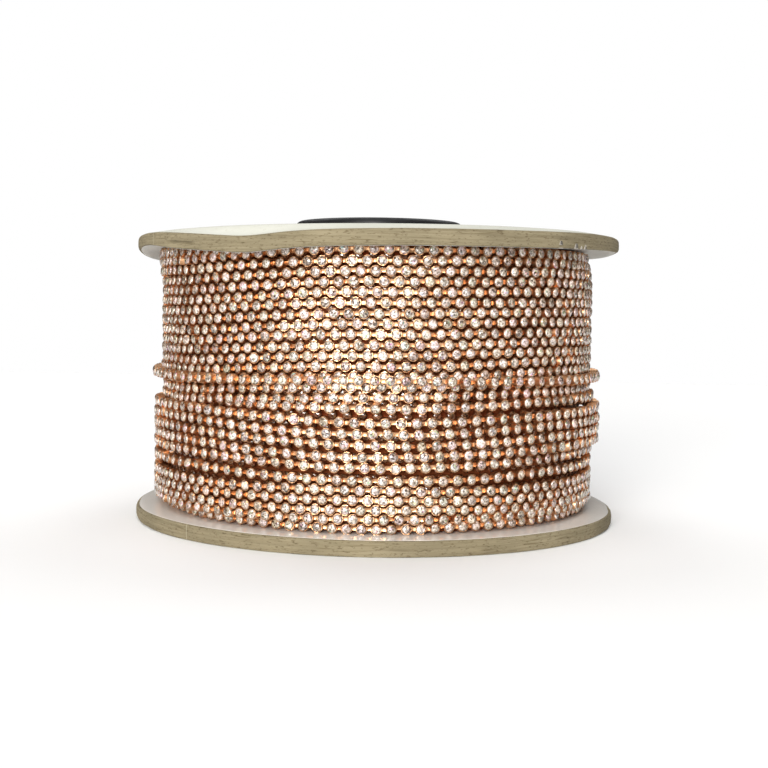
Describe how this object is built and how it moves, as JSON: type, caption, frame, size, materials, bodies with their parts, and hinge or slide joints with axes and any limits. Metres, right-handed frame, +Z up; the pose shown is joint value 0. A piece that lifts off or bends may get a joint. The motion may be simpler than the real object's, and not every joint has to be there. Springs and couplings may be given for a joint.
{
  "type": "rhinestone chain on a spool",
  "caption": "Clear rhinestones in rose-coloured metal cups, linked as a chain and wound in close rows on a spool with paper-faced board flanges and a black plastic hub.",
  "frame": {"origin": "on the hub's axis, at the underside of the bottom board", "axes": "+Z up along the hub's axis, -Y towards the picture's viewer, +X to the viewer's right"},
  "size_m": [0.11, 0.11, 0.0686],
  "materials": {
    "grey_board": "matt grey board, its faces covered with white paper",
    "black_plastic": "black, with a soft shine",
    "rose_metal": "rose-coloured plating, bright, set all over with clear faceted stones"
  },
  "bodies": {
    "root": {"board_bottom": "grey_board", "board_top": "grey_board", "hub": "black_plastic", "winding": "rose_metal"}
  },
  "joints": []
}
